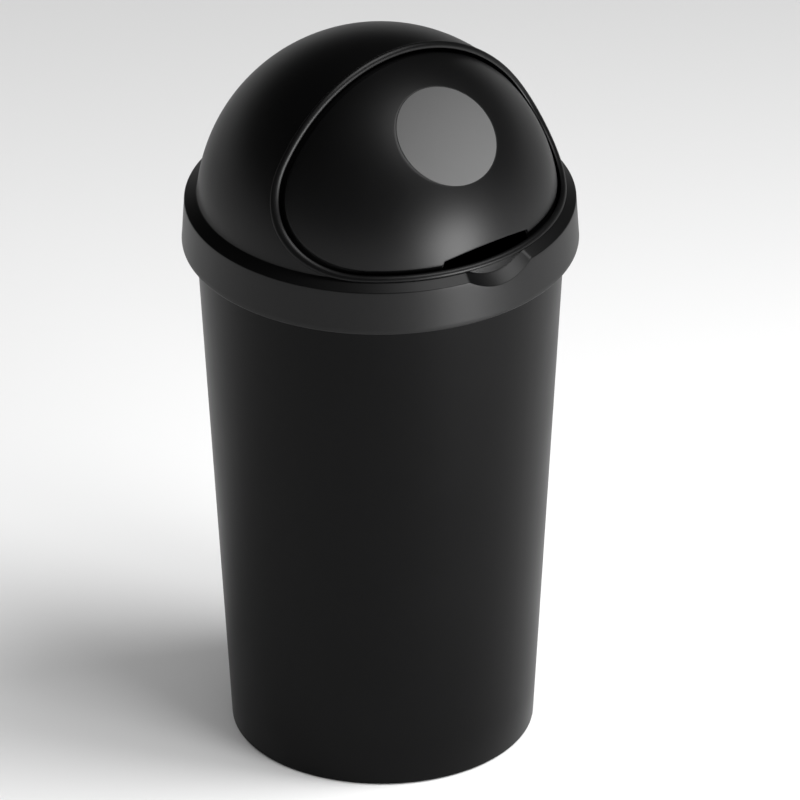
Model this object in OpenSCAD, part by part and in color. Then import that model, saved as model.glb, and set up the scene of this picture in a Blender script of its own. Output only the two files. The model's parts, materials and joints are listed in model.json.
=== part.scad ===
// Dome top waste receptacle: a tapered round tub, a lift-off dome lid, and a flap that rolls up inside
// the dome. Origin at the centre of the base, +Z up, the opening faces -Y. Millimetres.

/* [Tub] */
// Outer radius of the tub at the floor
base_r = 153; // [130:1:165]
// Outer radius of the tub just under the lid's collar
tub_r = 185.4; // [170:0.2:187]
// Height of the tub's straight, tapered side
side_h = 551; // [400:1:700]
// Wall of the tub
tub_wall = 2.6; // [2:0.1:4]
// Height of the underside of the tub's floor
floor_z = 6; // [4:0.5:12]
// Thickness of the tub's floor
floor_t = 3; // [2:0.5:6]
// Height of the shouldered mouth above the straight side
mouth_h = 24; // [20:1:30]
// How far the mouth steps out from the straight side
mouth_step = 5.7; // [3:0.1:7]
// How far the rolled rim stands out from the mouth
rim_roll = 2.1; // [1:0.1:3]

/* [Lid] */
// Clearance between the lid's inner skirt and the inside of the tub's mouth
skirt_play = 3.2; // [1:0.1:5]
// Height of the dome's centre above the bottom of the collar
dome_lift = 36.1; // [33:0.1:40]
// Wall of the dome
dome_wall = 2.6; // [2:0.1:3]
// How far the inner skirt reaches below the dome's centre
skirt_drop = 22; // [18:0.5:30]
// Clearance between the tub's rim and the inside of the collar's lower edge
collar_play = 3.8; // [3:0.1:8]
// Height of the collar's outer face
collar_h = 46.2; // [44:0.1:56]
// How much the collar draws in from its lower to its upper edge
collar_draft = 2.7; // [0:0.1:4]
// Wall of the collar and its ledge
collar_wall = 3; // [2:0.1:4]
// Rounding of the collar's upper edge
collar_edge = 1.8; // [1:0.1:6]
// Fall of the ledge from the dome to the collar's edge
ledge_fall = 7.8; // [0:0.1:8]
// Number of seat ribs under the ledge, which rest on the rim
seat_ribs = 12; // [6:2:24]
// Thickness of a seat rib
rib_t = 2.5; // [1.5:0.1:4]
// Clearance between the seat ribs and the rim
lid_gap = 0.3; // [0.2:0.05:0.6]

/* [Opening] */
// Lean of the opening's back edge, seen from the side, in degrees
mouth_lean = 5.3; // [0:0.1:10]
// Distance of the corner arc's centre behind the dome's front
corner_back = 63.1; // [58:0.1:68]
// Distance of the corner arc's centre below the dome's top
corner_down = 67.5; // [62:0.1:72]
// Radius of the corner arc along the bead's crest
corner_r = 94.2; // [85:0.1:98]
// Angle of the corner arc, from the level, where the flatter arc to the sill begins
corner_turn = 48; // [40:1:60]
// Height of the bead's crest along the sill, above the dome's centre
sill_up = 19; // [16:0.1:24]
// Height that the bead stands proud of the dome
bead_proud = 3; // [0.4:0.1:4]
// Width of the bead outside its crest
bead_out = 3.4; // [1:0.1:5]
// Width of the bead inside its crest, up to the edge of the hole
bead_in = 3; // [1:0.1:5]

/* [Finger pull] */
// Radius of the thumb scoop in the ledge and collar
scoop_r = 104; // [70:1:130]
// Fall of the scoop's floor towards the front, in degrees
scoop_tilt = 37; // [25:1:45]
// Height of the scoop's lip on the collar, below the dome's centre
scoop_drop = 3; // [0:0.5:6]
// Wall of the scoop's floor
scoop_wall = 2.6; // [2:0.1:4]
// Half of the width of the arched gap in the flap's lower edge
arch_half = 54; // [30:1:65]
// Height of the arch's middle above the flap's lower edge
arch_rise = 10.2; // [6:0.1:14]
// Height of the arch's two ends above the flap's lower edge
arch_end = 3.4; // [0:0.1:5]

/* [Flap] */
// Clearance between the flap's face and the inside of the dome
flap_gap = 2.7; // [1.5:0.1:4]
// Wall of the flap
flap_wall = 2.6; // [2:0.1:3]
// How far the flap's face stands out of its flange
panel_proud = 2.4; // [1.5:0.1:2.5]
// How far the flange reaches behind the bead's crest
flange_lap = 6.6; // [4:0.1:12]
// Distance of the face's edge inside the bead's crest
panel_inset = 4.4; // [3.4:0.1:6]
// Distance of the face's lower edge above the bead's crest at the sill
panel_lift = 4.4; // [3.4:0.1:10]
// Angle that the flap turns through
flap_open = 75; // [60:1:78]
// Width of the flap's arms
arm_w = 26; // [20:1:30]
// How far the arms run into the flange
arm_lap = 16; // [10:1:24]

/* [Badge] */
// Radius of the plain disc on the flap
badge_r = 54.2; // [30:0.1:60]
// Thickness of the disc
badge_t = 1.2; // [0.8:0.1:1.6]
// Depth of the recess that the disc lies in
badge_sink = 0.8; // [0.3:0.1:1.2]
// Elevation of the disc's centre seen from the dome's centre, in degrees
badge_el = 49.15; // [40:0.05:58]
// How far the disc's centre sits towards -X, in degrees
badge_side = 2.2; // [-5:0.1:5]

/* [Pivots] */
// Radius of a pivot pin
pin_r = 4; // [3:0.1:5]
// Running clearance of the pin in a bore
pin_play = 0.05; // [0.02:0.01:0.1]
// Radius of the pin's head
pin_head_r = 8; // [6:0.5:9]
// Thickness of the pin's head
pin_head_t = 2.5; // [1.5:0.1:3.5]
// Radius of the bosses round a pivot
boss_r = 12; // [10:0.5:14]
// Thickness of the friction washer
washer_t = 1.6; // [1:0.1:2]
// Radius of the friction washer
washer_r = 9.5; // [7:0.5:11]
// Thickness of the retaining clip
clip_t = 1.1; // [0.8:0.1:1.5]
// Radius of the retaining clip
clip_r = 7; // [6:0.5:8]
// Depth of the clip's groove in the pin
groove_t = 0.8; // [0.5:0.1:1.2]
// Clearance between faces that slide past each other
slide_gap = 0.3; // [0.2:0.05:0.5]

/* [Stops] */
// Thickness of a rubber stop bumper
bumper_t = 4; // [2:0.5:6]
// Width of a rubber stop bumper
bumper_w = 24; // [12:1:30]
// Distance of a closing bumper's middle from the centre line
closing_x = 74; // [66:1:90]
// Distance of an opening bumper's middle from the centre line
opening_x = 60; // [40:1:80]
// Height of the moulded shelf behind a bumper
shelf_t = 7; // [4:0.5:10]

/* [Feet] */
// Radius of a rubber foot
foot_r = 14; // [8:0.5:20]
// Distance of a foot from the tub's axis
foot_ring_r = 112; // [80:1:125]
// How far the feet stand below the tub's edge
foot_proud = 1; // [0.5:0.1:2]
// Clearance of a foot in its locating ring
foot_play = 0.3; // [0.1:0.1:0.6]

/* [Hidden] */
$fn = 120;

// Heights above the floor
collar_z = side_h;
centre_z = collar_z + dome_lift;
ledge_z = collar_z + collar_h;
rim_z = side_h + mouth_h;

// The tub's mouth and rim carry the lid: the dome and its skirt stand inside them, the collar outside
mouth_r = tub_r + mouth_step;
rim_r = mouth_r + rim_roll;
collar_r = rim_r + collar_play + collar_wall;
dome_r = mouth_r - tub_wall - skirt_play;

// Radii of the concentric shells, from the outside in
dome_in_r = dome_r - dome_wall;
bead_r = dome_r + bead_proud;
panel_r = dome_in_r - flap_gap;
flange_r = panel_r - panel_proud;
flap_in_r = flange_r - flap_wall;
// A radius inside the dome's wall, where the bead, shelves and bosses root
root_r = dome_r - dome_wall / 2;

// Places along the pivot axis, measured from the middle
pin_seat_x = dome_r + 0.2;
flap_boss_out_x = flange_r + 1.9;
flap_boss_in_x = flap_in_r - 1.6;
washer_in_x = flap_boss_out_x + slide_gap;
lid_boss_in_x = washer_in_x + washer_t;
clip_out_x = flap_boss_in_x - slide_gap;
clip_in_x = clip_out_x - clip_t;
pin_end_x = clip_in_x - 2;

// Longer than any piece of the lid
big = 1.5 * collar_r;
arc_steps = 12;

// ---- Outlines seen from the side: first value forwards, second value up, from the dome's centre ----

function polar(centre, r, angle) = [centre[0] + r * cos(angle), centre[1] + r * sin(angle)];
function arc(centre, r, from, to) =
    [for (i = [0 : arc_steps]) polar(centre, r, from + (to - from) * i / arc_steps)];

corner_centre = [dome_r - corner_back, dome_r - corner_down];
turn_angle = 180 + corner_turn;
turn_point = polar(corner_centre, corner_r, turn_angle);
// The flatter arc starts where the corner arc ends, runs on the same tangent and is level at the sill
sill_r = (turn_point[1] - sill_up) / (1 - sin(corner_turn));
sill_centre = polar(turn_point, sill_r, corner_turn);

// Forward place of the opening's back edge at a height, moved inwards by d
function back_edge(d, up) =
    polar(corner_centre, corner_r - d, 180 + mouth_lean)[0]
    - (up - polar(corner_centre, corner_r - d, 180 + mouth_lean)[1]) * tan(mouth_lean);

// The opening along the bead's crest, moved inwards by d
module opening_outline(d) {
    polygon(concat(
        [[big, sill_up + d], [big, big], [back_edge(d, big), big]],
        arc(corner_centre, corner_r - d, 180 + mouth_lean, turn_angle),
        arc(sill_centre, sill_r - d, turn_angle + 1, 270)));
}

// Turns a side outline into a prism across the whole dome, about the dome's centre
module across(width = 2 * big) {
    translate([0, 0, centre_z])
        rotate([90, 0, -90])
            linear_extrude(height = width, center = true)
                children();
}

module at_centre() {
    translate([0, 0, centre_z])
        children();
}

module shell(outer, inner) {
    at_centre()
        difference() {
            sphere(outer);
            sphere(inner);
        }
}

// A round bar along the pivot axis on the +X side, from one place to another
module pivot_bar(r, from, to) {
    at_centre()
        translate([from, 0, 0])
            rotate([0, 90, 0])
                cylinder(r = r, h = to - from);
}

module on_side(side) {
    if (side > 0)
        children();
    else
        mirror([1, 0, 0])
            children();
}

// ---- Tub ----

module tub() {
    shoulder_z = side_h + 2;
    roll_z = rim_z - 7;
    foot_edge = 4;
    color("#1b1c1e")
        difference() {
            union() {
                rotate_extrude()
                    polygon([
                        [0, floor_z],
                        [base_r - foot_edge, floor_z],
                        [base_r - foot_edge, foot_proud],
                        [base_r - 1, foot_proud],
                        [base_r, foot_proud + 1],
                        [tub_r, side_h],
                        [tub_r, shoulder_z],
                        [mouth_r, shoulder_z + mouth_step],
                        [mouth_r, roll_z],
                        [rim_r, roll_z + rim_roll],
                        [rim_r, rim_z - 2],
                        [rim_r - 0.7, rim_z - 0.6],
                        [rim_r - 2, rim_z],
                        [mouth_r - tub_wall + 0.6, rim_z],
                        [mouth_r - tub_wall, rim_z - 0.6],
                        [mouth_r - tub_wall, shoulder_z + mouth_step + 1],
                        [tub_r - tub_wall, shoulder_z + 1],
                        [tub_r - tub_wall, side_h],
                        [base_r - tub_wall, floor_z + floor_t + 3],
                        [base_r - tub_wall - 3, floor_z + floor_t],
                        [0, floor_z + floor_t]]);
                foot_rings();
            }
        }
}

module at_foot(angle) {
    rotate([0, 0, angle])
        translate([foot_ring_r, 0, 0])
            children();
}

foot_angles = [225, 315, 135, 45];

module foot_rings() {
    ring_wall = 2;
    ring_h = 2.5;
    for (angle = foot_angles)
        at_foot(angle)
            translate([0, 0, floor_z - ring_h])
                difference() {
                    cylinder(r = foot_r + foot_play + ring_wall, h = ring_h + 1);
                    translate([0, 0, -1])
                        cylinder(r = foot_r + foot_play, h = ring_h + 1);
                }
}

module foot(index) {
    color("#2a2a2a")
        at_foot(foot_angles[index]) {
            cylinder(r1 = foot_r - 1, r2 = foot_r, h = 1);
            translate([0, 0, 1])
                cylinder(r = foot_r, h = floor_z - 1);
        }
}

// ---- Lid ----

// Height of the ledge's top at the dome
crease_z = ledge_z + ledge_fall;
collar_top_r = collar_r - collar_draft;
ledge_in_r = root_r;
ledge_slope = atan2(ledge_fall, collar_top_r - ledge_in_r);

// Outline of the collar's outside, from the dome down to its lower edge, in radius and height
collar_edge_centre = [
    collar_top_r - collar_edge,
    ledge_z + collar_edge * (tan(ledge_slope) - 1 / cos(ledge_slope))];
collar_face = concat(
    [[ledge_in_r, crease_z]],
    [for (i = [0 : 6]) polar(collar_edge_centre, collar_edge, (90 - ledge_slope) * (1 - i / 6))],
    [[collar_r - 0.1, collar_z + 2], [collar_r - 0.6, collar_z + 0.6], [collar_r - 2, collar_z]]);

module collar() {
    rotate_extrude()
        polygon(concat(
            collar_face,
            [[collar_r - collar_wall, collar_z],
             [collar_top_r - collar_wall, ledge_z - collar_wall - 1],
             [collar_top_r - collar_wall - 1.5, ledge_z - collar_wall],
             [ledge_in_r, crease_z - collar_wall]]));
}

// The space between the dome and the collar's outside, which the scoop's floor fills in part
module collar_space() {
    rotate_extrude()
        polygon(concat(collar_face, [[ledge_in_r, collar_z]]));
}

module seat_rib() {
    rotate([90, 0, 0])
        linear_extrude(height = rib_t, center = true)
            polygon([
                [root_r, rim_z + lid_gap],
                [collar_r - collar_wall, rim_z + lid_gap],
                [collar_top_r - collar_wall + 1, ledge_z - collar_wall],
                [root_r, crease_z - collar_wall + 1]]);
}

module rib_ring() {
    for (i = [0 : seat_ribs - 1])
        rotate([0, 0, (i + 0.5) * 360 / seat_ribs + 90])
            seat_rib();
}

// The scoop's lip lies on the collar's face, on the centre line
scoop_lip_fwd = collar_r - collar_draft * (dome_lift - scoop_drop) / collar_h;
scoop_axis = [scoop_lip_fwd + scoop_r * sin(scoop_tilt), scoop_r * cos(scoop_tilt) - scoop_drop];

module scoop_bar(r) {
    at_centre()
        translate([0, -scoop_axis[0], scoop_axis[1]])
            rotate([90 + scoop_tilt, 0, 0])
                cylinder(r = r, h = 2 * scoop_r, center = true);
}

module scoop_floor() {
    intersection() {
        collar_space();
        scoop_bar(scoop_r + scoop_wall);
        translate([-big / 2, -big, collar_z])
            cube([big, big, crease_z - collar_z + 1]);
    }
}

module scoop_cut() {
    difference() {
        intersection() {
            scoop_bar(scoop_r);
            translate([-big / 2, -big, collar_z + 1])
                cube([big, big, crease_z - collar_z]);
        }
        at_centre()
            sphere(dome_r);
        bead();
    }
}

module dome() {
    difference() {
        shell(dome_r, dome_in_r);
        translate([-big, -big, centre_z - skirt_drop - big])
            cube([2 * big, 2 * big, big]);
    }
}

module bead() {
    intersection() {
        shell(bead_r, root_r);
        difference() {
            across()
                opening_outline(-bead_out);
            across()
                opening_outline(bead_in + 1);
        }
    }
}

module lid_boss() {
    pivot_bar(boss_r, lid_boss_in_x, root_r);
    pivot_bar(pin_head_r + 1, root_r - 0.5, pin_seat_x);
}

// The block of a stop seen from the flap at rest, between two distances past the flap's edge
module closing_block(near, far, half_w, x) {
    across_at(x, 2 * half_w)
        translate([0, sill_up - flange_lap - far])
            square([big, far - near]);
}

module opening_block(near, far, half_w, x) {
    at_centre()
        rotate([-flap_open, 0, 0])
            translate([0, 0, -centre_z])
                across_at(x, 2 * half_w)
                    intersection() {
                        difference() {
                            opening_outline(-flange_lap - far);
                            opening_outline(-flange_lap - near);
                        }
                        translate([-big / 2, corner_centre[1]])
                            square([big, big]);
                    }
}

module across_at(x, width) {
    translate([x, 0, 0])
        across(width)
            children();
}

// Bumpers and shelves stand on the dome's wall, the bumpers under the whole edge of the flap
module stop_shelves(side) {
    shelf_half = bumper_w / 2 + 2;
    shelf_near = slide_gap + bumper_t;
    intersection() {
        shell(root_r, flap_in_r - 1);
        union() {
            closing_block(shelf_near, shelf_near + shelf_t, shelf_half, side * closing_x);
            opening_block(shelf_near, shelf_near + shelf_t, shelf_half, side * opening_x);
        }
    }
}

module lid() {
    color("#1b1c1e")
        difference() {
            union() {
                dome();
                collar();
                rib_ring();
                scoop_floor();
                bead();
                for (side = [-1, 1]) {
                    on_side(side)
                        lid_boss();
                    stop_shelves(side);
                }
            }
            across()
                opening_outline(bead_in);
            scoop_cut();
            for (side = [-1, 1])
                on_side(side)
                    pivot_bar(pin_r + pin_play, pin_end_x, pin_seat_x + 1);
        }
}

// ---- Flap ----

// The arms run from the pivots towards the corner arc's centre, into the flange
module arm_outline() {
    arm_len = norm(corner_centre) - corner_r - flange_lap + arm_lap;
    circle(r = arm_w / 2);
    rotate(atan2(corner_centre[1], corner_centre[0]))
        translate([0, -arm_w / 2])
            square([arm_len, arm_w]);
}

module face_outline(d) {
    intersection() {
        opening_outline(d);
        translate([-big, sill_up + panel_lift + d - panel_inset])
            square(2 * big);
    }
}

module arch_cut() {
    bow = arch_rise - arch_end;
    arch_r = (arch_half * arch_half + bow * bow) / (2 * bow);
    edge_z = centre_z + sill_up + panel_lift;
    translate([0, 0, edge_z + arch_rise - arch_r])
        rotate([90, 0, 0])
            intersection() {
                cylinder(r = arch_r, h = big);
                translate([-arch_half, 0, 0])
                    cube([2 * arch_half, 2 * arch_r, big]);
            }
}

module badge_bar(r, from, to) {
    at_centre()
        rotate([0, 0, -badge_side])
            rotate([90 - badge_el, 0, 0])
                translate([0, 0, from])
                    cylinder(r = r, h = to - from);
}

module badge_recess() {
    difference() {
        badge_bar(badge_r + 0.2, panel_r / 2, panel_r + 5);
        at_centre()
            sphere(panel_r - badge_sink);
    }
}

module flap() {
    color("#1b1c1e")
        difference() {
            union() {
                intersection() {
                    shell(flange_r, flap_in_r);
                    difference() {
                        across()
                            union() {
                                opening_outline(-flange_lap);
                                arm_outline();
                            }
                        across()
                            face_outline(panel_inset + flap_wall);
                    }
                }
                intersection() {
                    shell(panel_r, panel_r - flap_wall - 0.3);
                    across()
                        face_outline(panel_inset);
                }
                for (side = [-1, 1])
                    on_side(side)
                        pivot_bar(boss_r, flap_boss_in_x, flap_boss_out_x);
            }
            for (side = [-1, 1])
                on_side(side)
                    pivot_bar(pin_r + pin_play, pin_end_x, pin_seat_x);
            arch_cut();
            badge_recess();
        }
}

module badge_disc() {
    color("#8d8f90")
        intersection() {
            shell(panel_r - badge_sink + badge_t, panel_r - badge_sink);
            badge_bar(badge_r, panel_r / 2, panel_r + 5);
        }
}

// ---- Pivots, stops and feet ----

module pivot_pin(side) {
    color("#b9bcc0")
        on_side(side)
            difference() {
                union() {
                    pivot_bar(pin_r, pin_end_x, pin_seat_x + 0.5);
                    pivot_bar(pin_head_r, pin_seat_x, pin_seat_x + pin_head_t);
                }
                difference() {
                    pivot_bar(pin_r + 1, clip_in_x, clip_out_x);
                    pivot_bar(pin_r - groove_t, clip_in_x - 1, clip_out_x + 1);
                }
            }
}

module pivot_washer(side) {
    color("#e6e4dc")
        on_side(side)
            difference() {
                pivot_bar(washer_r, washer_in_x, lid_boss_in_x);
                pivot_bar(pin_r + pin_play, washer_in_x - 1, lid_boss_in_x + 1);
            }
}

module retaining_clip(side) {
    color("#8f9296")
        on_side(side)
            difference() {
                pivot_bar(clip_r, clip_in_x, clip_out_x);
                pivot_bar(pin_r - groove_t, clip_in_x - 1, clip_out_x + 1);
                translate([clip_in_x - 1, -(pin_r - groove_t), centre_z - clip_r - 1])
                    cube([clip_t + 2, 2 * (pin_r - groove_t), clip_r + 1]);
            }
}

module closing_bumper(side) {
    color("#303030")
        intersection() {
            shell(flange_r + 1, flap_in_r - 0.5);
            closing_block(slide_gap, slide_gap + bumper_t, bumper_w / 2, side * closing_x);
        }
}

module opening_bumper(side) {
    color("#303030")
        intersection() {
            shell(flange_r + 1, flap_in_r - 0.5);
            opening_block(slide_gap, slide_gap + bumper_t, bumper_w / 2, side * opening_x);
        }
}

tub();
lid();
flap();
badge_disc();
pivot_pin(-1);  // left_pivot_pin
pivot_pin(1);  // right_pivot_pin
pivot_washer(-1);  // left_pivot_washer
pivot_washer(1);  // right_pivot_washer
retaining_clip(-1);  // left_retaining_clip
retaining_clip(1);  // right_retaining_clip
closing_bumper(-1);  // left_closing_bumper
closing_bumper(1);  // right_closing_bumper
opening_bumper(-1);  // left_opening_bumper
opening_bumper(1);  // right_opening_bumper
foot(0);  // front_left_foot
foot(1);  // front_right_foot
foot(2);  // rear_left_foot
foot(3);  // rear_right_foot
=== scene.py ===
"""Looks of the dome top waste receptacle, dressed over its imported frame.

The frame is in metres. The shapes below are worked out in millimetres, with u forwards (-Y), v up from the
dome's centre and x to the right, and are turned into metres when a mesh is made. Only the tub's heights are
counted from the floor.
"""
import json
import math

import bpy
import numpy as np
from mathutils import Matrix, Vector


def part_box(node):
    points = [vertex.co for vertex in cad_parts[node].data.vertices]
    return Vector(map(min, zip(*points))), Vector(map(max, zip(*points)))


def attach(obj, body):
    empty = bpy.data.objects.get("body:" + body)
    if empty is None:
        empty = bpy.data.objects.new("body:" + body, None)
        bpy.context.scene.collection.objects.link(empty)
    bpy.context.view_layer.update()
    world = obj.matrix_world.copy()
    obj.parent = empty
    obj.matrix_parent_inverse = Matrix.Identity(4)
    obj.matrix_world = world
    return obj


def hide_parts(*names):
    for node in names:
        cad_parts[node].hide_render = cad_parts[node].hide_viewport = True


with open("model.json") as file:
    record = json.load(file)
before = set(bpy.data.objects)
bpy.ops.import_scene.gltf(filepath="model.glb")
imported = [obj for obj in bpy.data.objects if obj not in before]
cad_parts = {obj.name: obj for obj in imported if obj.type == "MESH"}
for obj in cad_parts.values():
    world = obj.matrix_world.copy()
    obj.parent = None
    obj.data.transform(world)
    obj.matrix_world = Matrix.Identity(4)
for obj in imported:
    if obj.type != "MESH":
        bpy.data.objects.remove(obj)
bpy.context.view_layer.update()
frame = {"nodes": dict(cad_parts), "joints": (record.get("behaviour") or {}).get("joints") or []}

MM = 0.001

# ---------------------------------------------------------------- sizes from the frame

hinge = next(j for j in frame["joints"] if j["name"] == "flap_swing")
CENTRE_Z = hinge["pos_m"][2] / MM

lid_low, lid_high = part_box("lid")
COLLAR_R = (lid_high.x - lid_low.x) / 2 / MM
COLLAR_V = lid_low.z / MM - CENTRE_Z

tub_low, tub_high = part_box("tub")
TUB_FOOT_Z = tub_low.z / MM
RIM_Z = tub_high.z / MM
RIM_R = (tub_high.x - tub_low.x) / 2 / MM

# ---------------------------------------------------------------- driving sizes, as in the part

DOME_R = 185.3
DOME_WALL = 2.6
SKIRT_DROP = 22.0       # how far the skirt goes down below the dome's centre
COLLAR_H = 46.2
COLLAR_DRAFT = 2.7      # how much narrower the collar is at its top
COLLAR_WALL = 3.0
COLLAR_EDGE = 1.8       # rounding between the collar's face and the ledge
LEDGE_FALL = 7.8
SEAT_RIBS = 12
RIB_T = 2.5
RIM_CLEARANCE = 0.3     # between the ribs and the tub's rim

MOUTH_LEAN = math.radians(5.3)      # of the opening's back plane
CORNER_R = 94.2                     # of the opening's side corners
CORNER_BACK = 63.1                  # the corners' centre, back from the dome's front
CORNER_DOWN = 67.5                  # and down from its top
CORNER_TURN = math.radians(48)      # where the corner's arc hands over to the sill's
SILL_UP = 19.0
BEAD_PROUD = 3.0
BEAD_OUT = 3.4
BEAD_IN = 3.0
BEAD_CREST = -0.8
BEAD_LIP = 1.0

SCOOP_R = 104.0
SCOOP_TILT = math.radians(37)
SCOOP_DROP = 3.0
ARCH_HALF = 54.0        # half the finger gap's width
ARCH_RISE = 10.2
ARCH_END = 3.4

FLAP_GAP = 2.7          # between the dome's inside and the flap
FLAP_WALL = 2.6
PANEL_PROUD = 2.4
FLANGE_LAP = 6.6        # how far the flange laps behind the opening's edge
PANEL_INSET = 4.4
PANEL_LIFT = 4.4
ARM_W = 26.0
ARM_LAP = 16.0
FLAP_OPEN = math.radians(75)

SLIDE_GAP = 0.3
BUMPER_T = 4.0
SHELF_T = 7.0
SHELF_HALF = 14.0
CLOSING_X = 74.0
OPENING_X = 60.0

BADGE_R = 54.2
BADGE_T = 1.2
BADGE_SINK = 0.8
BADGE_EL = math.radians(49.15)
BADGE_SIDE = math.radians(2.2)

BOSS_R = 12.0
PIN_R = 4.05
PIN_HEAD_R = 8.0
WASHER_T = 1.6
TUB_BASE_R = 153.0
TUB_TOP_R = 185.4
TUB_SIDE_H = 551.0
TUB_WALL = 2.6
TUB_FLOOR = (6.0, 9.0)  # heights of its underside and its top
MOUTH_STEP = 5.7
RIM_ROLL = 2.1

# ---------------------------------------------------------------- small edges and laps of the looks

SKIN = 0.02             # keeps two faces that would coincide apart
FOOT_EDGE_IN = 1.0      # roundings of the collar's lower edge
FOOT_EDGE_OUT = 1.4
SCOOP_BLEND = 0.9       # over which the scoop runs into the ledge
SCOOP_EDGE = 1.3        # rounding of the collar's top edge in the scoop
SCOOP_FADE = 5          # depth of scoop over which the rounding changes
LEDGE_WALL = COLLAR_WALL + 0.8
LEDGE_CHAMFER = (1.6, 1.2)          # of the corner inside the collar's top, across and down
BEAD_FOOT = 0.5         # from the dome's last row to the bead
LIP_ROUND = ((0, 0.8), (0.25, 0.22), (0.9, 0))      # the bead's inner edge: outwards and up
LIP_END = 1.2           # and where the dome's inside begins
SKIRT_EDGE = 0.6        # chamfer of the skirt's lower edge
PANEL_EDGE = 2.0        # rounding of the flap's raised panel
PANEL_FOOT = 0.3        # and of its foot on the flange
PANEL_EXTRA = 0.3       # thickness that the panel has over the flange
FLANGE_EDGE = 0.4
ARCH_LEDGE = 0.5        # of flange that shows under the finger gap's edge
ARCH_FADE = 1           # on each side of the gap's ends, where that changes to the plain flange
ARM_SINK = 0.05         # of the arms' faces below the flange's
BOSS_IN = 1.6           # how far the flap's bosses stand out of the arms, inwards and outwards
BOSS_OUT = 1.9
WALL_BITE = 0.5         # how far pieces on the dome's wall go into it past its middle
PAD_PROUD = 0.2         # of the pads under the pins' heads, over the dome
PAD_WIDER = 1           # than the pin's head
SHELF_REACH = 1         # of the stops' shelves, inwards past the flap's inside
RIB_BITE = 1.0          # how far the ribs go into the walls that they join
RIB_TOP_OUT = 0.4       # and into the ledge, at the collar and at the dome
RIB_TOP_IN = 0.1
SHOULDER_RISE = 2       # from the end of the tub's side to the step at its mouth
SHOULDER_OUT = 0.1      # how much it widens on that stretch
SHOULDER_IN = 1         # how much higher the step lies inside
RIM_BAND = 7            # height of the rolled rim
BASE_RING = 4           # width of the ring under the tub's wall
FOOT_SINK = 0.05        # keeps its outer corner inside the part's box
FLOOR_CHAMFER = 3       # between the tub's inside and its floor
DISC_GAP = 0.2          # round the disc in its recess
DISC_BEVEL = 0.45
RECESS_LIP = ((0, 0.25), (0.0006, 0.08), (0.0016, 0))   # the disc's recess: angle wider, depth

CORNER_CENTRE = np.array([DOME_R - CORNER_BACK, DOME_R - CORNER_DOWN])
DOME_IN_R = DOME_R - DOME_WALL
PANEL_R = DOME_IN_R - FLAP_GAP
FLANGE_R = PANEL_R - PANEL_PROUD
FLAP_IN_R = FLANGE_R - FLAP_WALL
PANEL_IN_R = PANEL_R - FLAP_WALL - PANEL_EXTRA
ROOT_R = DOME_R - DOME_WALL / 2
PANEL_EDGE_V = SILL_UP + PANEL_LIFT

QUARTER_STEPS = 4       # steps round a small rounding

# ---------------------------------------------------------------- mesh helpers


def make_object(name, points_mm, faces, sharp, about_centre=True):
    """A mesh object in the row frame, from points in millimetres: smooth but for edges over sharp degrees."""
    points = np.asarray(points_mm, float).copy()
    if about_centre:
        points[:, 2] += CENTRE_Z
    mesh = bpy.data.meshes.new(name)
    mesh.from_pydata((points * MM).tolist(), [], [list(map(int, face)) for face in faces])
    mesh.validate()
    mesh.polygons.foreach_set("use_smooth", [True] * len(mesh.polygons))
    mesh.set_sharp_from_angle(angle=math.radians(sharp))
    obj = bpy.data.objects.new(name, mesh)
    bpy.context.scene.collection.objects.link(obj)
    return obj


def grid_faces(rows, columns, wrap_rows, flip):
    """Quads of a grid whose columns always close on themselves."""
    faces = []
    for i in range(rows if wrap_rows else rows - 1):
        low = i * columns
        high = (i + 1) % rows * columns
        for j in range(columns):
            k = (j + 1) % columns
            quad = [low + j, low + k, high + k, high + j]
            faces.append(quad[::-1] if flip else quad)
    return faces


def pole_faces(pole, ring_start, columns, flip):
    """Triangles from one point to a closed ring."""
    faces = []
    for j in range(columns):
        tri = [pole, ring_start + j, ring_start + (j + 1) % columns]
        faces.append(tri[::-1] if flip else tri)
    return faces


def from_rows(name, rows, wrap_rows=False, poles=None, flip=False, **options):
    """An object from equal closed rows of points, with a point at each end where poles gives them."""
    rows = np.asarray(rows, float)
    count, columns = rows.shape[:2]
    points = rows.reshape(-1, 3)
    faces = grid_faces(count, columns, wrap_rows, flip)
    if poles is not None:
        first, last = len(points), len(points) + 1
        points = np.vstack([points, poles])
        faces += pole_faces(first, 0, columns, not flip)
        faces += pole_faces(last, (count - 1) * columns, columns, flip)
    return make_object(name, points, faces, **options)


def to_space(x, u, v):
    """Side-view values to the row's axes, about the dome's centre."""
    return np.stack(np.broadcast_arrays(x, -np.asarray(u), v), axis=-1)


def at_radius(points, radius):
    """Points moved in or out along their own direction."""
    return points / np.linalg.norm(points, axis=-1, keepdims=True) * radius


def between(a, b, fraction, radius):
    """The point a fraction of the way round the sphere from a to b, row by row."""
    a = at_radius(a, 1)
    b = at_radius(b, 1)
    angle = np.arccos(np.clip((a * b).sum(-1, keepdims=True), -1, 1))
    wide = np.maximum(np.sin(angle), 1e-9)
    mixed = (np.sin((1 - fraction) * angle) * a + np.sin(fraction * angle) * b) / wide
    return at_radius(mixed, radius)


def lathe(name, profile, columns, **options):
    """A solid turned about +Z from its profile of radius and height, closed onto the axis at both ends."""
    angles = np.linspace(0, 2 * math.pi, columns, endpoint=False)
    rows = [np.stack([r * np.cos(angles), r * np.sin(angles), np.full(columns, z)], axis=-1)
            for r, z in profile]
    poles = [[0, 0, profile[0][1]], [0, 0, profile[-1][1]]]
    return from_rows(name, rows, poles=poles, **options)


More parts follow.
